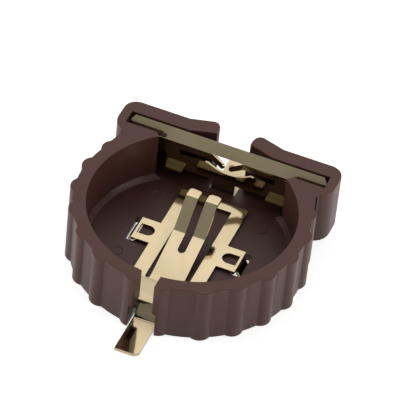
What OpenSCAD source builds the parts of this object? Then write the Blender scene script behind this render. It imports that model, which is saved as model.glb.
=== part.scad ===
// Surface-mount holder for one coin cell: a ribbed round cup with two
// hooked ears at the back, a windowed rear contact for the rim of the cell
// and a flat floor contact whose split spring tongue lifts against its base.
// X runs along the ears, +Y points to the ears, z = 0 is the board.
// The origin is the centre of the round pocket, on the board.

/* [Cell and pocket] */
// Diameter of the cell that the holder takes
cell_d = 12.5; // [10:0.1:16]
// Gap between the cell and the pocket wall, on the radius
cell_gap = 0.45; // [0.1:0.05:0.6]
// Height of the housing above the board
holder_h = 4.05; // [3.6:0.05:6]
// Thickness of the pocket floor
floor_t = 0.5; // [0.4:0.05:0.8]
// Size of the bevel between the pocket wall and the floor
pocket_bevel = 0.3; // [0.1:0.05:0.5]

/* [Cup wall] */
// Wall thickness between the ridges
wall_t = 0.86; // [0.6:0.02:1.4]
// How far each ridge stands out of the wall
ridge_h = 0.27; // [0.1:0.01:0.4]
// Radius of a ridge's rounded face
ridge_r = 0.77; // [0.5:0.01:1]
// Ridges on each side of the front slot, besides the one that the slot cuts
ridges = 6; // [3:1:6]
// Angle between neighbouring ridges, degrees
ridge_pitch = 16.8; // [14:0.1:18]
// Angle of the first whole ridge from the middle of the slot, degrees
ridge_start = 28; // [24:0.1:30]
// Angle of the ridge that the slot cuts, degrees
ridge_cut_a = 7.2; // [6:0.1:10]

/* [Front slot] */
// Width of the slot above the foot
slot_w = 1.24; // [0.8:0.02:2]
// Height over the board at which the slot narrows
slot_step_z = 1.75; // [1.5:0.05:2.5]

/* [Ears] */
// Overall width across the two ears
ears_w = 15; // [13:0.1:20]
// Plastic behind the contact slot
ear_back_t = 1.05; // [0.6:0.05:1.5]
// Width of the gap between the ears
ear_gap = 2.3; // [1.6:0.05:3]
// How far the hooked ends stand out behind the ears
hook_out = 0.47; // [0.1:0.01:0.8]
// Radius of the rounded outer corners
ear_r = 0.9; // [0.3:0.05:1]

/* [Sheet metal] */
// Thickness of the floor contact
sheet_t = 0.22; // [0.15:0.01:0.3]
// Thickness of the rear contact
rear_t = 0.15; // [0.12:0.01:0.25]
// Clearance between the sheets and the plastic around them
sheet_gap = 0.06; // [0.03:0.01:0.15]
// Width of the two solder feet
foot_w = 1.56; // [1:0.02:2]
// Length of the front foot outside the cup wall
front_foot_l = 2.45; // [1:0.05:4]
// Length of the rear foot behind the ears
rear_foot_l = 1.9; // [1:0.05:4]

/* [Rear contact] */
// Width of the top strip and of the wings
strip_w = 13.6; // [11:0.1:18]
// Angle at which the top strip leans back, degrees
strip_lean = 38; // [10:1:40]
// Height of the top strip along its slope
strip_h = 0.86; // [0.4:0.02:1.2]
// Width of the plate below the wings
plate_w = 8.3; // [6:0.1:10]
// How far the plate and its window stand to the right
plate_shift = 0.15; // [0:0.05:0.3]
// Height over the board of the lower edge of the wings
wing_z = 2.42; // [1.8:0.02:2.6]
// Height of the two sprung arms
arm_h = 0.48; // [0.3:0.02:0.7]
// Reach of the left arm from its bend
arm_l_left = 1.18; // [0.8:0.02:1.6]
// Reach of the right arm from its bend
arm_l_right = 0.96; // [0.6:0.02:1.4]

/* [Floor contact] */
// Width of the frame
frame_w = 4.6; // [3:0.1:6]
// Distance from the pocket centre to the rear edge of the frame
frame_back = 4.6; // [3.5:0.05:5]
// Distance from the pocket centre to the front shoulder of the frame
frame_front = 3.42; // [3:0.02:4]
// Width of the spring tongue
tongue_w = 2.14; // [1.4:0.02:3]
// Width of the cut between the tongue and the frame
tongue_cut = 0.31; // [0.2:0.01:0.5]
// Width of the cut between the two fingers
finger_cut = 0.52; // [0.3:0.02:0.8]
// Height over the board of the finger tips
finger_z = 3.1; // [2:0.05:3.4]
// Length over the two side tabs
tabs_w = 7.1; // [6:0.1:9]

/* [Hidden] */
$fn = 96;
eps = 0.01;
big = 60;

// Cup
pocket_r = cell_d / 2 + cell_gap;
valley_r = pocket_r + wall_t;
peak_r = valley_r + ridge_h;
ridge_c = peak_r - ridge_r;
last_ridge_a = ridge_start + (ridges - 1) * ridge_pitch - 90;

// Rear contact: the cell's back edge meets the front of the plate
plate_y = cell_d - pocket_r;
strip_top_gap = 0.03;
bend_z = holder_h - strip_top_gap - strip_h * cos(strip_lean);
wall_end_y = plate_y - 0.4;
slot_back_y = plate_y + strip_h * sin(strip_lean) + rear_t * cos(strip_lean) + sheet_gap;
ear_back_y = slot_back_y + ear_back_t;
ear_front_y = wall_end_y - 0.88;
ear_front_r = 1.2;
rear_foot_y = ear_back_y + rear_foot_l;
// Half-width of the pocket where it opens to the contact slot, at its two corners
throat_y = wall_end_y - 0.33;
throat_x = sqrt(pocket_r * pocket_r - throat_y * throat_y);
throat_bevel = 0.34;
// The wings stand on ledges outside this half-width
ledge_x = plate_w / 2 + 0.9;
tab_top_z = floor_t + 0.88;
strip_corner = 0.3;
stop_tab_w = 1.25;
stop_tab_l = 0.44;
wing_fillet = 0.45;
arm_bend_x = 1.1;
arm_slot_h = 0.4;
arm_angle_left = 31;
arm_angle_right = 39;
window_dip = 0.45;
window_dip_x = 0.15;
window_dip_r = 2.6;

// Floor contact
plate_top = floor_t + sheet_t;
foot_front_y = valley_r + front_foot_l;
drop_top_y = pocket_r - 0.2;
drop_end_y = pocket_r + 0.16;
shelf_z = plate_top + 0.5;
tail_ramp_y = frame_front + 0.5;
cut_front_y = frame_front + 0.5 - tongue_cut / 2;
tongue_root_y = frame_front + 0.45;
tongue_rise_y = frame_front;
finger_bend_z = plate_top + 0.9;
finger_root_y = 1.2;
finger_end_y = 2.6;
finger_tip_l = 0.8;
finger_nose = 0.25;
frame_bar = 0.65;
frame_r = 0.15;
foot_cut = 0.28;
tab_half_y = 1;
tab_hole_r = 0.46;
tab_hole_x0 = frame_w / 2 + 0.04;
tab_bar = 0.16;
leg_w = 1.3;
leg_low_z = 0.14;
leg_out = 0.34;
leg_hole_y = 1.05;
leg_hole_x0 = tabs_w / 2 - 0.2;
leg_hole_x1 = tabs_w / 2 + 0.42;

// ---------- shared shapes ----------

// Rectangle between two corners
module box2(x0, y0, x1, y1) {
    translate([min(x0, x1), min(y0, y1)]) square([abs(x1 - x0), abs(y1 - y0)]);
}

// Both a shape and its mirror image across X = 0
module both_sides() {
    children();
    mirror([1, 0]) children();
}

// Extrudes a side view drawn as [y, z] across a width centred on X = 0
module across(width) {
    rotate([90, 0, 90]) translate([0, 0, -width / 2]) linear_extrude(width) children();
}

function unit(v) = v / norm(v);
function left_of(v) = [-v[1], v[0]];
// Offset of a path's point i by d to its left, mitred at the corners
function mitre(p, i, d) =
    let (a = i > 0 ? unit(p[i] - p[i - 1]) : unit(p[1] - p[0]),
         b = i < len(p) - 1 ? unit(p[i + 1] - p[i]) : a,
         n = unit(left_of(a) + left_of(b)))
    p[i] + n * d / (n * left_of(a));
// Corner i of a path rounded to radius r, as a run of points
function bend(p, i, r, steps = 4) =
    let (a = unit(p[i - 1] - p[i]), b = unit(p[i + 1] - p[i]),
         half = acos(a * b) / 2, back = r / tan(half),
         c = p[i] + unit(a + b) * r / sin(half),
         s = p[i] + a * back - c, e = p[i] + b * back - c,
         turn = 180 - 2 * half, dir = sign(s[0] * e[1] - s[1] * e[0]))
    [for (k = [0:steps]) let (t = dir * turn * k / steps)
        c + [s[0] * cos(t) - s[1] * sin(t), s[0] * sin(t) + s[1] * cos(t)]];
function bent(p, r) = [
    p[0], for (i = [1:len(p) - 2]) each bend(p, i, r), p[len(p) - 1]];
// Side view of a sheet t thick along path p, which is its upper face, with sharp folds
module creased(p, t) {
    polygon([each p, for (i = [len(p) - 1:-1:0]) mitre(p, i, -t)]);
}
// The same with each fold rounded
module folded(p, t) {
    creased(bent(p, t + 0.1), t);
}

// ---------- housing ----------

// One ridge of the wall, at an angle from the middle of the front slot
module ridge(angle) {
    rotate(angle - 90) translate([ridge_c, 0]) circle(ridge_r);
}

module cup_outline() {
    circle(valley_r);
    both_sides() {
        ridge(ridge_cut_a);
        for (i = [0:ridges - 1]) ridge(ridge_start + i * ridge_pitch);
        // web from the last ridge to the front of the ear
        polygon([[pocket_r * 0.7, ear_front_y - 1.4],
                 [ridge_c * cos(last_ridge_a) + ridge_r * 0.6,
                  ridge_c * sin(last_ridge_a) + ridge_r * 0.7],
                 [ears_w / 2 - 0.9, ear_front_y + 0.1], [pocket_r * 0.7, ear_front_y + 0.1]]);
    }
}

// One ear, on the right: a block with rounded outer corners and a hooked end
module ear_outline() {
    x0 = ear_gap / 2;
    x1 = ears_w / 2;
    translate([x1 - ear_r, ear_back_y - ear_r]) circle(ear_r);
    translate([x1 - ear_front_r, ear_front_y + ear_front_r]) circle(ear_front_r);
    box2(x1 - 3, ear_front_y, x1 - ear_front_r, ear_back_y);
    box2(x1 - 3, ear_front_y + ear_front_r, x1, ear_back_y - ear_r);
    box2(x1 - 3, wall_end_y, x1 - ear_r, ear_back_y);
    // inner end, swept back to the hook
    polygon([[x1 - 3 + eps, wall_end_y], [x1 - 3 + eps, ear_back_y], [x0 + 2.1, ear_back_y],
             [x0 + 0.52, ear_back_y + hook_out], [x0 + 0.26, ear_back_y + hook_out - 0.06],
             [x0 + 0.07, ear_back_y + hook_out - 0.3], [x0, ear_back_y - 0.2],
             [x0, wall_end_y]]);
}

// Room for the rear contact between the wall ends and the ears' back walls
module contact_slot_outline() {
    x1 = strip_w / 2 + sheet_gap;
    box2(-x1, wall_end_y, x1, slot_back_y);
    // the ears' inner faces flare towards the gap
    both_sides() polygon([[0, wall_end_y], [0, slot_back_y + 0.6],
        [ear_gap / 2, slot_back_y + 0.52], [ear_gap / 2 + 0.6, slot_back_y + 0.36],
        [ear_gap / 2 + 1.7, slot_back_y], [ear_gap / 2 + 1.7, wall_end_y]]);
}

// Opening between the pocket and the contact slot
module throat_outline() {
    polygon([[-throat_x, throat_y - eps], [-throat_x - throat_bevel, wall_end_y + eps],
             [throat_x + throat_bevel, wall_end_y + eps], [throat_x, throat_y - eps]]);
}

module pocket() {
    translate([0, 0, floor_t]) rotate_extrude()
        polygon([[0, 0], [pocket_r - pocket_bevel, 0], [pocket_r, pocket_bevel],
                 [pocket_r, holder_h], [0, holder_h]]);
}

// Slot through the wall for the front foot: narrow above, wide at the foot
module front_slot() {
    low_w = foot_w + 4 * sheet_gap;
    translate([-slot_w / 2, -peak_r - 1, floor_t]) cube([slot_w, 2.2, holder_h]);
    translate([-low_w / 2, -peak_r - 1, -eps])
        cube([low_w, peak_r + 1.4 - drop_top_y, slot_step_z + eps]);
}

module housing() {
    foot_slot_w = foot_w + 4 * sheet_gap;
    color([0.30, 0.22, 0.20]) difference() {
        linear_extrude(holder_h) {
            cup_outline();
            both_sides() ear_outline();
            box2(-strip_w / 2, wall_end_y - 1, strip_w / 2, slot_back_y - eps);
        }
        pocket();
        translate([0, 0, floor_t]) linear_extrude(holder_h) {
            throat_outline();
            box2(-ledge_x, wall_end_y, ledge_x, slot_back_y);
            box2(-ear_gap / 2, wall_end_y, ear_gap / 2, ear_back_y + 1);
        }
        // slot for the wings, with ledges under their ends
        translate([0, 0, wing_z - sheet_gap]) linear_extrude(holder_h) contact_slot_outline();
        // way out for the rear foot
        translate([-foot_slot_w / 2, plate_y - sheet_gap, -eps])
            cube([foot_slot_w, 4, holder_h]);
        front_slot();
        // floor holes for the legs of the floor contact
        for (side = [-1, 1]) scale([side, 1, 1])
            translate([leg_hole_x0, -leg_hole_y, -eps])
                cube([leg_hole_x1 - leg_hole_x0, 2 * leg_hole_y, floor_t + 2 * eps]);
    }
}

// ---------- rear contact ----------

// The window between the arms, with the slots below them, as [x, z]
module window_front_view() {
    arm_z = bend_z - arm_h;
    slot_x = plate_w / 2 - 0.85;
    box2(-slot_x, arm_z - arm_slot_h, slot_x, arm_z);
    box2(-arm_bend_x, arm_z - arm_slot_h, arm_bend_x, bend_z);
    // the lower edge dips in the middle
    intersection() {
        translate([window_dip_x, arm_z - arm_slot_h - window_dip + window_dip_r])
            circle(window_dip_r);
        box2(-slot_x, arm_z - arm_slot_h - window_dip, slot_x, arm_z);
    }
}

// Front view of the flat plate as [x, z]
module plate_front_view() {
    pw = plate_w / 2;
    difference() {
        union() {
            box2(-strip_w / 2, wing_z, strip_w / 2, bend_z);
            translate([plate_shift, 0]) {
                box2(-pw, tab_top_z - rear_t, pw, bend_z);
                both_sides() difference() {
                    box2(pw - eps, wing_z - wing_fillet, pw + wing_fillet, wing_z + eps);
                    translate([pw + wing_fillet, wing_z - wing_fillet]) circle(wing_fillet);
                }
            }
        }
        translate([plate_shift, 0]) window_front_view();
    }
}

// A sprung arm of the window, bent towards the cell; side is -1 or 1
module arm(side, length, angle) {
    nose = 0.12;
    translate([plate_shift + side * arm_bend_x, plate_y, bend_z - arm_h])
        scale([-side, 1, 1]) rotate(-angle) rotate([90, 0, 0]) translate([0, 0, -rear_t])
            linear_extrude(rear_t)
                polygon([[-0.08, 0], [length - nose, 0], [length, nose],
                         [length, arm_h - nose], [length - nose, arm_h], [-0.08, arm_h]]);
}

// The strip's side view across its width, with the window open up to the bend
module top_strip() {
    strip_top = [plate_y + strip_h * sin(strip_lean), bend_z + strip_h * cos(strip_lean)];
    difference() {
        intersection() {
            across(strip_w)
                folded([[plate_y, bend_z - 0.2], [plate_y, bend_z], strip_top], rear_t);
            // cut upper corners
            rotate([90, 0, 0]) linear_extrude(big, center = true)
                polygon([[-strip_w / 2, 0], [strip_w / 2, 0],
                         [strip_w / 2, strip_top[1] - strip_corner],
                         [strip_w / 2 - strip_corner, holder_h],
                         [strip_corner - strip_w / 2, holder_h],
                         [-strip_w / 2, strip_top[1] - strip_corner]]);
        }
        translate([plate_shift - arm_bend_x, plate_y - 1, 0]) cube([2 * arm_bend_x, 2, bend_z]);
    }
}

module positive_contact() {
    back_y = plate_y + rear_t;
    color([0.78, 0.70, 0.56]) {
        translate([0, back_y, 0]) rotate([90, 0, 0]) linear_extrude(rear_t) plate_front_view();
        top_strip();
        // two stop tabs, bent forward above the floor
        for (side = [-1, 1])
            translate([plate_shift + side * (plate_w - stop_tab_w) / 2, 0, 0])
                across(stop_tab_w)
                    box2(plate_y - stop_tab_l, tab_top_z - rear_t, back_y, tab_top_z);
        // rear foot
        across(foot_w) folded([[back_y, tab_top_z], [back_y, rear_t], [rear_foot_y, rear_t]],
                              rear_t);
        arm(-1, arm_l_left, arm_angle_left);
        arm(1, arm_l_right, arm_angle_right);
    }
}

// ---------- floor contact ----------

// Plan of the frame, its side tabs, the tail and the front foot
module frame_plan() {
    fw = frame_w / 2;
    cut_w = tongue_w + 2 * tongue_cut;
    difference() {
        union() {
            box2(-fw, -frame_front, fw, frame_back - frame_r);
            box2(frame_r - fw, 0, fw - frame_r, frame_back);
            both_sides() translate([fw - frame_r, frame_back - frame_r]) circle(frame_r);
            box2(-tabs_w / 2, -tab_half_y, tabs_w / 2, tab_half_y);
            polygon([[-fw + 0.3, -frame_front + eps], [-foot_w / 2, -drop_top_y + 0.1],
                     [-foot_w / 2, -foot_front_y], [foot_w / 2 - foot_cut, -foot_front_y],
                     [foot_w / 2, -foot_front_y + foot_cut], [foot_w / 2, -drop_top_y + 0.1],
                     [fw - 0.3, -frame_front + eps]]);
        }
        // cut on both sides of the tongue and behind it
        box2(-cut_w / 2, 0, cut_w / 2, frame_back - frame_bar);
        both_sides() {
            box2(tongue_w / 2, -cut_front_y, tongue_w / 2 + tongue_cut, eps);
            translate([tongue_w / 2 + tongue_cut / 2, -cut_front_y]) circle(tongue_cut / 2);
            // D-shaped hole in the side tab
            translate([tab_hole_x0 + tab_hole_r, 0]) circle(tab_hole_r);
            box2(tab_hole_x0 + tab_hole_r, -tab_hole_r, tabs_w / 2 - tab_bar, tab_hole_r);
        }
        box2(-tongue_w / 2 - eps, -tongue_root_y + 0.05, tongue_w / 2 + eps, eps);
    }
}

// Plan of the tongue and its two fingers
module tongue_plan() {
    tw = tongue_w / 2;
    fc = finger_cut / 2;
    difference() {
        union() {
            box2(-tw, -tongue_root_y, tw, finger_end_y - finger_nose);
            both_sides() box2(fc + finger_nose, 0, tw - finger_nose, finger_end_y);
            both_sides() for (x = [fc + finger_nose, tw - finger_nose])
                translate([x, finger_end_y - finger_nose]) circle(finger_nose);
        }
        box2(-fc, -finger_root_y, fc, finger_end_y + 1);
        translate([0, -finger_root_y]) circle(fc);
    }
}

module negative_contact() {
    color([0.80, 0.72, 0.58]) {
        // foot, drop, shelf, ramp and frame
        intersection() {
            linear_extrude(big) frame_plan();
            across(tabs_w)
                folded([[-foot_front_y, sheet_t], [-drop_end_y, sheet_t],
                        [-drop_top_y, shelf_z], [-drop_top_y + 0.75, shelf_z],
                        [-tail_ramp_y, plate_top], [frame_back, plate_top]], sheet_t);
        }
        // tongue, rising to two spring fingers with turned-over tips
        intersection() {
            linear_extrude(big) tongue_plan();
            across(tongue_w)
                folded([[-tongue_root_y, plate_top], [-tongue_rise_y, plate_top],
                        [0, finger_bend_z], [finger_end_y - finger_tip_l, finger_z],
                        [finger_end_y, finger_z - 0.08]], sheet_t);
        }
        // legs of the side tabs, bent down through the floor
        for (side = [-1, 1]) scale([side, 1, 1])
            rotate([90, 0, 0]) linear_extrude(leg_w, center = true)
                creased([[tabs_w / 2 - tab_bar, plate_top], [tabs_w / 2, plate_top],
                         [tabs_w / 2 + leg_out, leg_low_z]], sheet_t);
    }
}

housing();
positive_contact();
negative_contact();
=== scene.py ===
"""Looks of a surface-mount coin cell holder: moulded cup, two plated sheet contacts, studio stage.

The parts' sizes and places come from model.glb, in metres.
"""
import math

import bmesh
import bpy
from mathutils import Matrix, Vector


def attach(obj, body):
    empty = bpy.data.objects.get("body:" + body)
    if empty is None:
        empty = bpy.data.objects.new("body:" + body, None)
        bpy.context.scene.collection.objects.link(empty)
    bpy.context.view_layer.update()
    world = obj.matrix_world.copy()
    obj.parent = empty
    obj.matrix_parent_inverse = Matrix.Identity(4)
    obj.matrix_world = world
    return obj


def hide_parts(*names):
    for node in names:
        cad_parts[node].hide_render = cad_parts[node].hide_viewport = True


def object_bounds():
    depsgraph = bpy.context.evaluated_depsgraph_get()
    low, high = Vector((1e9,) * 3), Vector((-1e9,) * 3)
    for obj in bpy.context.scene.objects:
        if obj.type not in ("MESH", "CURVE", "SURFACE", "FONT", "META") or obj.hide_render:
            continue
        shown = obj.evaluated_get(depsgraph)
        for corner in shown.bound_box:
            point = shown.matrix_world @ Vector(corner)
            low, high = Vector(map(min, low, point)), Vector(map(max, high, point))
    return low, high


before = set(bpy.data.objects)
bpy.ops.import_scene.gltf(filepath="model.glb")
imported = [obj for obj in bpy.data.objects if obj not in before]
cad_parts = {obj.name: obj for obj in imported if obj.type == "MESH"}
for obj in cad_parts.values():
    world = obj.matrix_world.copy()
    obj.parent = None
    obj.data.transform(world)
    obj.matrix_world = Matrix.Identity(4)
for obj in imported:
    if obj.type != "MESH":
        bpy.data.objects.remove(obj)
CAD_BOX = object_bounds()

bl_info = {
    "name": "Coin cell holder looks",
    "version": (1, 0, 0),
    "blender": (4, 5, 0),
    "location": "View3D > Sidebar > Cell Holder",
    "description": "Finishes the moulded cup and the sheet contacts of a coin cell holder",
    "category": "Object",
}

MM = 0.001
POCKET_FLOOR = 0.5 * MM
# Centres of the ejector-pin marks on the pocket floor, left and right of the floor contact
MARK_PLACES = [(-3.9 * MM, -2.35 * MM), (4.6 * MM, -2.6 * MM), (-3.6 * MM, 3.6 * MM),
               (3.6 * MM, 3.6 * MM)]
# Vertices closer than this are one, and faces flatter to each other than this many degrees merge
MERGE_DISTANCE = 0.0005 * MM
FLAT_DEGREES = 0.5
# Creases sharper than these many degrees are shaded sharp, and rounded
SHARP_DEGREES, ROUND_DEGREES = 32, 40
RING_SHARP_DEGREES = 60
# Half the floor's width, and the glow that makes paper white to the eye
STAGE_HALF = 400 * MM
PAPER_COLOUR, PAPER_GLOW = (0.86, 0.86, 0.86), 0.72
ROOM_LIGHT = 0.3
LIGHT_TARGET = (0, 0, 2 * MM)
# Area lights: name, place, width and height, power in watts
LIGHTS = (
    ("top_box", (-40 * MM, 150 * MM, 260 * MM), (420 * MM, 300 * MM), 0.098),
    ("left_box", (-190 * MM, -70 * MM, 70 * MM), (50 * MM, 170 * MM), 0.13),
    ("right_box", (190 * MM, 10 * MM, 60 * MM), (40 * MM, 170 * MM), 0.11),
)
HOUSING, REAR, FLOOR = "housing", "positive_contact", "negative_contact"


# ---------------------------------------------------------------- settings

class CellHolderPlastic(bpy.types.PropertyGroup):
    """Finish of the moulded cup"""

    colour: bpy.props.FloatVectorProperty(
        name="Plastic", description="Colour of the moulded plastic", subtype="COLOR", size=3,
        default=(0.12, 0.044, 0.033), min=0, max=1)
    roughness: bpy.props.FloatProperty(
        name="Roughness", description="Roughness of the moulded skin", default=0.42, min=0, max=1)
    grain: bpy.props.FloatProperty(
        name="Grain", description="Size of the spark-eroded grain", subtype="DISTANCE",
        default=0.09 * MM, min=0.01 * MM, max=MM)
    edge: bpy.props.FloatProperty(
        name="Edge radius", description="Rounding of the moulded edges", subtype="DISTANCE",
        default=0.03 * MM, min=0, max=0.08 * MM)


class CellHolderMetal(bpy.types.PropertyGroup):
    """Finish of the plated sheets"""

    colour: bpy.props.FloatVectorProperty(
        name="Plating", description="Colour of the plating", subtype="COLOR", size=3,
        default=(0.68, 0.555, 0.35), min=0, max=1)
    roughness: bpy.props.FloatProperty(
        name="Roughness", description="Roughness of the rolled faces", default=0.09, min=0, max=1)
    grain: bpy.props.FloatProperty(
        name="Rolling grain", description="Spacing of the rolling marks", subtype="DISTANCE",
        default=0.05 * MM, min=0.005 * MM, max=MM)


class CellHolderStage(bpy.types.PropertyGroup):
    """Camera, lights and floor"""

    azimuth: bpy.props.FloatProperty(
        name="Azimuth", description="Camera's turn round the holder, degrees", default=18.08)
    elevation: bpy.props.FloatProperty(
        name="Elevation", description="Camera's height above the board, degrees", default=44.12)
    roll: bpy.props.FloatProperty(
        name="Roll", description="Camera's turn about its own axis, degrees", default=6.15)
    distance: bpy.props.FloatProperty(
        name="Distance", description="Camera to the pocket's centre on the board",
        subtype="DISTANCE", default=220.7 * MM, min=50 * MM)
    lens: bpy.props.FloatProperty(
        name="Lens", description="Focal length for a 36 mm sensor, in millimetres", default=312.5)
    aim_x: bpy.props.FloatProperty(
        name="Aim across", description="Pocket centre's place right of the middle of the view, "
        "as a share of the focal length", default=-0.00361)
    aim_y: bpy.props.FloatProperty(
        name="Aim down", description="Pocket centre's place below the middle of the view, "
        "as a share of the focal length", default=0.01510)


GROUPS = {
    "cell_holder_plastic": CellHolderPlastic,
    "cell_holder_metal": CellHolderMetal,
    "cell_holder_stage": CellHolderStage,
}


# ---------------------------------------------------------------- node helpers

def add_node(tree, kind, inputs=None, **settings):
    node = tree.nodes.new(kind)
    for name, value in settings.items():
        setattr(node, name, value)
    for name, value in (inputs or {}).items():
        socket = node.inputs[name]
        if isinstance(value, bpy.types.NodeSocket):
            tree.links.new(value, socket)
        else:
            socket.default_value = value
    return node


def math_node(tree, operation, a, b=0.0, clamp=False):
    return add_node(tree, "ShaderNodeMath", {0: a, 1: b},
                    operation=operation, use_clamp=clamp).outputs[0]


def new_group(name, inputs, outputs):
    """An empty shader group with named sockets: {name: (socket type, default)}"""
    tree = bpy.data.node_groups.new(name, "ShaderNodeTree")
    for label, (kind, default) in inputs.items():
        socket = tree.interface.new_socket(name=label, in_out="INPUT", socket_type=kind)
        if default is not None:
            socket.default_value = default
    for label, kind in outputs.items():
        tree.interface.new_socket(name=label, in_out="OUTPUT", socket_type=kind)
    return tree, tree.nodes.new("NodeGroupInput").outputs, tree.nodes.new("NodeGroupOutput").inputs


def haze_group():
    """Slow cloudy change of tone and gloss, as handling and flow leave it"""
    tree, given, out = new_group(
        "surface_haze",
        {"Colour": ("NodeSocketColor", (0.5, 0.5, 0.5, 1)), "Size": ("NodeSocketFloat", 1000.0),
         "Tone": ("NodeSocketFloat", 0.1), "Roughness": ("NodeSocketFloat", 0.3),
         "Gloss change": ("NodeSocketFloat", 0.05)},
        {"Colour": "NodeSocketColor", "Roughness": "NodeSocketFloat"})
    place = add_node(tree, "ShaderNodeTexCoord").outputs["Object"]
    cloud = add_node(tree, "ShaderNodeTexNoise", {
        "Vector": place, "Scale": given["Size"], "Detail": 4.0, "Roughness": 0.55}).outputs["Fac"]
    centred = math_node(tree, "SUBTRACT", cloud, 0.5)
    tone = math_node(tree, "MULTIPLY_ADD", centred, given["Tone"])
    tree.nodes[-1].inputs[2].default_value = 1.0
    shaded = add_node(tree, "ShaderNodeVectorMath", {0: given["Colour"]}, operation="SCALE")
    tree.links.new(tone, shaded.inputs["Scale"])
    tree.links.new(shaded.outputs[0], out["Colour"])
    change = math_node(tree, "MULTIPLY", centred, given["Gloss change"])
    tree.links.new(math_node(tree, "ADD", change, given["Roughness"], clamp=True), out["Roughness"])
    return tree


def grain_group():
    """Fine surface grain as a normal; the stretch makes rolling marks of it"""
    tree, given, out = new_group(
        "fine_grain",
        {"Scale": ("NodeSocketFloat", 10000.0), "Stretch": ("NodeSocketVector", (1, 1, 1)),
         "Strength": ("NodeSocketFloat", 0.1), "Depth": ("NodeSocketFloat", 0.00001)},
        {"Normal": "NodeSocketVector", "Height": "NodeSocketFloat"})
    place = add_node(tree, "ShaderNodeTexCoord").outputs["Object"]
    stretched = add_node(tree, "ShaderNodeVectorMath", {0: place, 1: given["Stretch"]},
                         operation="MULTIPLY").outputs[0]
    grain = add_node(tree, "ShaderNodeTexNoise", {
        "Vector": stretched, "Scale": given["Scale"], "Detail": 3.0}).outputs["Fac"]
    bump = add_node(tree, "ShaderNodeBump", {
        "Strength": given["Strength"], "Distance": given["Depth"], "Height": grain})
    tree.links.new(bump.outputs["Normal"], out["Normal"])
    tree.links.new(grain, out["Height"])
    return tree


def painted_shade_group():
    """Painted shade: darkens a colour where other surfaces stand close around it, in recesses, corners
    and between parts
    """
    tree, given, out = new_group(
        "painted_cavity_shade",
        {"Colour": ("NodeSocketColor", (0.5, 0.5, 0.5, 1)), "Reach": ("NodeSocketFloat", 0.003),
         "Floor": ("NodeSocketFloat", 0.4)},
        {"Colour": "NodeSocketColor"})
    near = add_node(tree, "ShaderNodeAmbientOcclusion", {"Distance": given["Reach"]}, samples=8)
    left = math_node(tree, "SUBTRACT", 1.0, given["Floor"])
    share = math_node(tree, "MULTIPLY", near.outputs["AO"], left)
    keep = math_node(tree, "ADD", share, given["Floor"], clamp=True)
    shaded = add_node(tree, "ShaderNodeVectorMath", {0: given["Colour"]}, operation="SCALE")
    tree.links.new(keep, shaded.inputs["Scale"])
    tree.links.new(shaded.outputs[0], out["Colour"])
    return tree


def shared(name, maker):
    return bpy.data.node_groups.get(name) or maker()


def use_group(tree, group, inputs):
    node = tree.nodes.new("ShaderNodeGroup")
    node.node_tree = group
    for name, value in inputs.items():
        if isinstance(value, bpy.types.NodeSocket):
            tree.links.new(value, node.inputs[name])
        else:
            node.inputs[name].default_value = value
    return node.outputs


def new_material(name):
    material = bpy.data.materials.new(name)
    material.use_nodes = True
    tree = material.node_tree
    return material, tree, tree.nodes["Principled BSDF"]


def plastic_material(settings):
    material, tree, shader = new_material("moulded_plastic")
    haze = use_group(tree, shared("surface_haze", haze_group), {
        "Colour": (*settings.colour, 1), "Size": 420.0, "Tone": 0.35,
        "Roughness": settings.roughness, "Gloss change": 0.16})
    grain = use_group(tree, shared("fine_grain", grain_group), {
        "Scale": 1 / settings.grain, "Strength": 0.18, "Depth": 0.012 * MM})
    # painted shade: the plastic's colour is darkened in the pocket's recesses and corners
    painted_shade = use_group(tree, shared("painted_cavity_shade", painted_shade_group), {
        "Colour": haze["Colour"], "Reach": 5 * MM, "Floor": 0.25})
    tree.links.new(painted_shade["Colour"], shader.inputs["Base Color"])
    tree.links.new(haze["Roughness"], shader.inputs["Roughness"])
    tree.links.new(grain["Normal"], shader.inputs["Normal"])
    shader.inputs["IOR"].default_value = 1.5
    shader.inputs["Specular IOR Level"].default_value = 0.38
    return material


def sheet_material(settings):
    material, tree, shader = new_material("plated_sheet")
    haze = use_group(tree, shared("surface_haze", haze_group), {
        "Colour": (*settings.colour, 1), "Size": 650.0, "Tone": 0.16,
        "Roughness": settings.roughness, "Gloss change": 0.06})
    grain = use_group(tree, shared("fine_grain", grain_group), {
        "Scale": 1 / settings.grain, "Stretch": (1.0, 0.08, 1.0), "Strength": 0.06,
        "Depth": 0.004 * MM})
    # painted shade: the plating's colour is darkened where other surfaces stand close round it
    painted_shade = use_group(tree, shared("painted_cavity_shade", painted_shade_group), {
        "Colour": haze["Colour"], "Reach": 5 * MM, "Floor": 0.3})
    tree.links.new(painted_shade["Colour"], shader.inputs["Base Color"])
    tree.links.new(haze["Roughness"], shader.inputs["Roughness"])
    tree.links.new(grain["Normal"], shader.inputs["Normal"])
    shader.inputs["Metallic"].default_value = 1.0
    return material


# ---------------------------------------------------------------- piece helpers

def refined_copy(node_name, piece_name, edge, material):
    """The CAD node's own shape with merged faces, as a piece of its own; an edge above 0 softens it"""
    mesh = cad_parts[node_name].data.copy()
    mesh.name = piece_name
    shape = bmesh.new()
    shape.from_mesh(mesh)
    bmesh.ops.remove_doubles(shape, verts=shape.verts, dist=MERGE_DISTANCE)
    bmesh.ops.dissolve_limit(shape, angle_limit=math.radians(FLAT_DEGREES),
                             verts=shape.verts, edges=shape.edges)
    shape.to_mesh(mesh)
    shape.free()
    mesh.materials.clear()
    mesh.materials.append(material)
    piece = bpy.data.objects.new(piece_name, mesh)
    bpy.context.scene.collection.objects.link(piece)
    smooth_by_angle(piece.data, SHARP_DEGREES)
    if edge:
        bevel = piece.modifiers.new("edges", "BEVEL")
        bevel.width = edge
        bevel.segments = 2
        bevel.limit_method = "ANGLE"
        bevel.angle_limit = math.radians(ROUND_DEGREES)
        bevel.use_clamp_overlap = False
        bevel.harden_normals = True
        freeze_modifiers(piece)
    return piece


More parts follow.
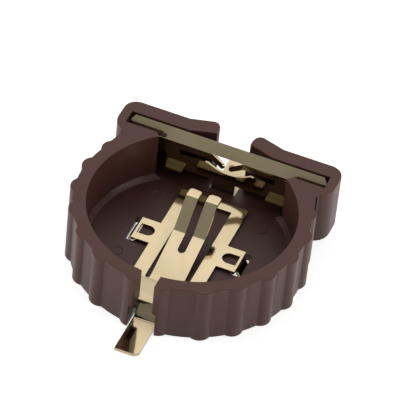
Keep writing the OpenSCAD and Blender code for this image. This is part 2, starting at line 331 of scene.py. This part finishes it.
def freeze_modifiers(piece):
    """Turns the evaluated shape into the piece's plain mesh"""
    graph = bpy.context.evaluated_depsgraph_get()
    made = bpy.data.meshes.new_from_object(piece.evaluated_get(graph))
    made.name = piece.name
    piece.modifiers.clear()
    piece.data = made


def smooth_by_angle(mesh, degrees):
    mesh.shade_smooth()
    mesh.set_sharp_from_angle(angle=math.radians(degrees))


def hand_over(piece, node_name):
    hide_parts(node_name)
    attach(piece, "root")


def marks_tree(material):
    """Geometry nodes: one raised ring on every point of the piece"""
    tree = bpy.data.node_groups.new("ejector_rings", "GeometryNodeTree")
    tree.interface.new_socket(name="Geometry", in_out="INPUT", socket_type="NodeSocketGeometry")
    for label, default in (("Ring radius", 0.36 * MM), ("Bead radius", 0.035 * MM)):
        socket = tree.interface.new_socket(name=label, in_out="INPUT",
                                           socket_type="NodeSocketFloat")
        socket.default_value = default
    tree.interface.new_socket(name="Geometry", in_out="OUTPUT", socket_type="NodeSocketGeometry")
    given = tree.nodes.new("NodeGroupInput").outputs
    out = tree.nodes.new("NodeGroupOutput").inputs
    ring = add_node(tree, "GeometryNodeCurvePrimitiveCircle", {
        "Resolution": 40, "Radius": given["Ring radius"]}).outputs["Curve"]
    bead = add_node(tree, "GeometryNodeCurvePrimitiveCircle", {
        "Resolution": 8, "Radius": given["Bead radius"]}).outputs["Curve"]
    solid = add_node(tree, "GeometryNodeCurveToMesh", {
        "Curve": ring, "Profile Curve": bead}).outputs["Mesh"]
    spread = add_node(tree, "GeometryNodeInstanceOnPoints", {
        "Points": given["Geometry"], "Instance": solid}).outputs["Instances"]
    real = add_node(tree, "GeometryNodeRealizeInstances", {"Geometry": spread}).outputs["Geometry"]
    dressed = add_node(tree, "GeometryNodeSetMaterial", {"Geometry": real, "Material": material})
    tree.links.new(dressed.outputs["Geometry"], out["Geometry"])
    return tree


# ---------------------------------------------------------------- operators

class CELLHOLDER_OT_housing(bpy.types.Operator):
    """Finishes the moulded cup"""

    bl_idname = "cell_holder.housing"
    bl_label = "Moulded cup"

    def execute(self, context):
        settings = context.scene.cell_holder_plastic
        material = plastic_material(settings)
        piece = refined_copy(HOUSING, "moulded_cup", settings.edge, material)
        hand_over(piece, HOUSING)
        return {"FINISHED"}


class CELLHOLDER_OT_marks(bpy.types.Operator):
    """Adds the rings that the ejector pins leave on the pocket floor"""

    bl_idname = "cell_holder.marks"
    bl_label = "Ejector marks"

    def execute(self, context):
        mesh = bpy.data.meshes.new("ejector_marks")
        mesh.from_pydata([(x, y, POCKET_FLOOR) for x, y in MARK_PLACES], [], [])
        piece = bpy.data.objects.new("ejector_marks", mesh)
        bpy.context.scene.collection.objects.link(piece)
        material = bpy.data.materials["moulded_plastic"]
        rings = piece.modifiers.new("rings", "NODES")
        rings.node_group = marks_tree(material)
        freeze_modifiers(piece)
        piece.data.materials.clear()
        piece.data.materials.append(material)
        smooth_by_angle(piece.data, RING_SHARP_DEGREES)
        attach(piece, "root")
        return {"FINISHED"}


def finish_sheet(context, node_name, piece_name):
    """One sheet contact, square-edged, in the shared plating"""
    material = (bpy.data.materials.get("plated_sheet")
                or sheet_material(context.scene.cell_holder_metal))
    hand_over(refined_copy(node_name, piece_name, 0, material), node_name)


class CELLHOLDER_OT_rear_contact(bpy.types.Operator):
    """Finishes the rear sheet contact"""

    bl_idname = "cell_holder.rear_contact"
    bl_label = "Rear contact"

    def execute(self, context):
        finish_sheet(context, REAR, "rear_contact_sheet")
        return {"FINISHED"}


class CELLHOLDER_OT_floor_contact(bpy.types.Operator):
    """Finishes the floor sheet contact"""

    bl_idname = "cell_holder.floor_contact"
    bl_label = "Floor contact"

    def execute(self, context):
        finish_sheet(context, FLOOR, "floor_contact_sheet")
        return {"FINISHED"}


def white_to_eye(tree, output, lit, strength):
    """Adds a plain white glow that only the camera, gloss and glass see"""
    path = add_node(tree, "ShaderNodeLightPath").outputs
    seen = math_node(tree, "ADD", path["Is Camera Ray"], path["Is Transmission Ray"])
    seen = math_node(tree, "ADD", seen, path["Is Glossy Ray"])
    power = math_node(tree, "MULTIPLY", seen, strength)
    glow = add_node(tree, "ShaderNodeEmission", {"Color": (1, 1, 1, 1), "Strength": power})
    both = add_node(tree, "ShaderNodeAddShader", {0: lit, 1: glow.outputs[0]})
    tree.links.new(both.outputs[0], output.inputs["Surface"])


def stage_material(name, colour, strength):
    material = bpy.data.materials.new(name)
    material.use_nodes = True
    tree = material.node_tree
    tree.nodes.clear()
    output = tree.nodes.new("ShaderNodeOutputMaterial")
    lit = add_node(tree, "ShaderNodeBsdfDiffuse", {"Color": (*colour, 1)})
    white_to_eye(tree, output, lit.outputs[0], strength)
    return material


def stage_plane(name, corners, material):
    mesh = bpy.data.meshes.new(name)
    mesh.from_pydata(corners, [], [tuple(range(len(corners)))])
    mesh.materials.append(material)
    plane = bpy.data.objects.new(name, mesh)
    bpy.context.scene.collection.objects.link(plane)
    return plane


def soft_light(name, place, target, size, power):
    data = bpy.data.lights.new(name, "AREA")
    data.shape = "RECTANGLE"
    data.size, data.size_y = size
    data.energy = power
    light = bpy.data.objects.new(name, data)
    light.location = place
    light.rotation_mode = "QUATERNION"
    light.rotation_quaternion = (Vector(target) - Vector(place)).to_track_quat("-Z", "Y")
    bpy.context.scene.collection.objects.link(light)
    return light


def make_camera(stage):
    azimuth, elevation, roll = (math.radians(v) for v in (stage.azimuth, stage.elevation, stage.roll))
    ahead = Vector((-math.sin(azimuth) * math.cos(elevation),
                    math.cos(azimuth) * math.cos(elevation), -math.sin(elevation)))
    right = Vector((math.cos(azimuth), math.sin(azimuth), 0))
    down = ahead.cross(right)
    across = right * math.cos(roll) - down * math.sin(roll)
    downward = right * math.sin(roll) + down * math.cos(roll)
    forward = (ahead - across * stage.aim_x - downward * stage.aim_y).normalized()
    side = (across - forward * across.dot(forward)).normalized()
    up = side.cross(forward)
    data = bpy.data.cameras.new("camera")
    data.lens = stage.lens
    data.sensor_width = 36.0
    data.clip_start, data.clip_end = 0.01, 10.0
    camera = bpy.data.objects.new("camera", data)
    basis = Matrix((side, up, -forward)).transposed().to_4x4()
    camera.matrix_world = Matrix.Translation(-ahead * stage.distance) @ basis
    bpy.context.scene.collection.objects.link(camera)
    bpy.context.scene.camera = camera


class CELLHOLDER_OT_stage(bpy.types.Operator):
    """Makes the floor, the backdrop, the lights and the camera"""

    bl_idname = "cell_holder.stage"
    bl_label = "Stage"

    def execute(self, context):
        scene = context.scene
        scene.view_settings.view_transform = "Standard"
        white = stage_material("white_paper", PAPER_COLOUR, PAPER_GLOW)
        floor_z = CAD_BOX[0].z - 0.002 * MM
        half = STAGE_HALF
        stage_plane("floor", [(-half, -half, floor_z), (half, -half, floor_z),
                              (half, half, floor_z), (-half, half, floor_z)], white)
        stage_plane("backdrop", [(-half, half, floor_z), (half, half, floor_z),
                                 (half, half * 0.6, 2.4 * half), (-half, half * 0.6, 2.4 * half)],
                    stage_material("backdrop_paper", PAPER_COLOUR, PAPER_GLOW))
        world = bpy.data.worlds.new("studio")
        scene.world = world
        world.use_nodes = True
        tree = world.node_tree
        tree.nodes.clear()
        output = tree.nodes.new("ShaderNodeOutputWorld")
        room = add_node(tree, "ShaderNodeBackground", {"Color": (1, 1, 1, 1), "Strength": ROOM_LIGHT})
        path = add_node(tree, "ShaderNodeLightPath").outputs
        eye = add_node(tree, "ShaderNodeBackground", {"Color": (1, 1, 1, 1), "Strength": 1.0})
        seen = math_node(tree, "ADD", path["Is Camera Ray"], path["Is Transmission Ray"], clamp=True)
        both = add_node(tree, "ShaderNodeMixShader", {0: seen, 1: room.outputs[0], 2: eye.outputs[0]})
        tree.links.new(both.outputs[0], output.inputs["Surface"])
        for name, place, size, power in LIGHTS:
            soft_light(name, place, LIGHT_TARGET, size, power)
        make_camera(scene.cell_holder_stage)
        return {"FINISHED"}


class CELLHOLDER_PT_panel(bpy.types.Panel):
    """Sidebar panel with the settings and the build steps"""

    bl_idname = "CELLHOLDER_PT_panel"
    bl_label = "Coin cell holder"
    bl_space_type = "VIEW_3D"
    bl_region_type = "UI"
    bl_category = "Cell Holder"

    def draw(self, context):
        for name, group in GROUPS.items():
            box = self.layout.box()
            for prop in group.__annotations__:
                box.prop(getattr(context.scene, name), prop)
        for step in STEPS:
            self.layout.operator(step.bl_idname)


STEPS = (CELLHOLDER_OT_housing, CELLHOLDER_OT_marks, CELLHOLDER_OT_rear_contact,
         CELLHOLDER_OT_floor_contact, CELLHOLDER_OT_stage)


def register():
    for cls in (*GROUPS.values(), *STEPS, CELLHOLDER_PT_panel):
        bpy.utils.register_class(cls)
    for name, group in GROUPS.items():
        setattr(bpy.types.Scene, name, bpy.props.PointerProperty(type=group))


def unregister():
    for name in GROUPS:
        delattr(bpy.types.Scene, name)
    for cls in reversed((*GROUPS.values(), *STEPS, CELLHOLDER_PT_panel)):
        bpy.utils.unregister_class(cls)


def main():
    register()
    for step in STEPS:
        family, name = step.bl_idname.split(".")
        getattr(getattr(bpy.ops, family), name)()


if __name__ == "__main__":
    main()
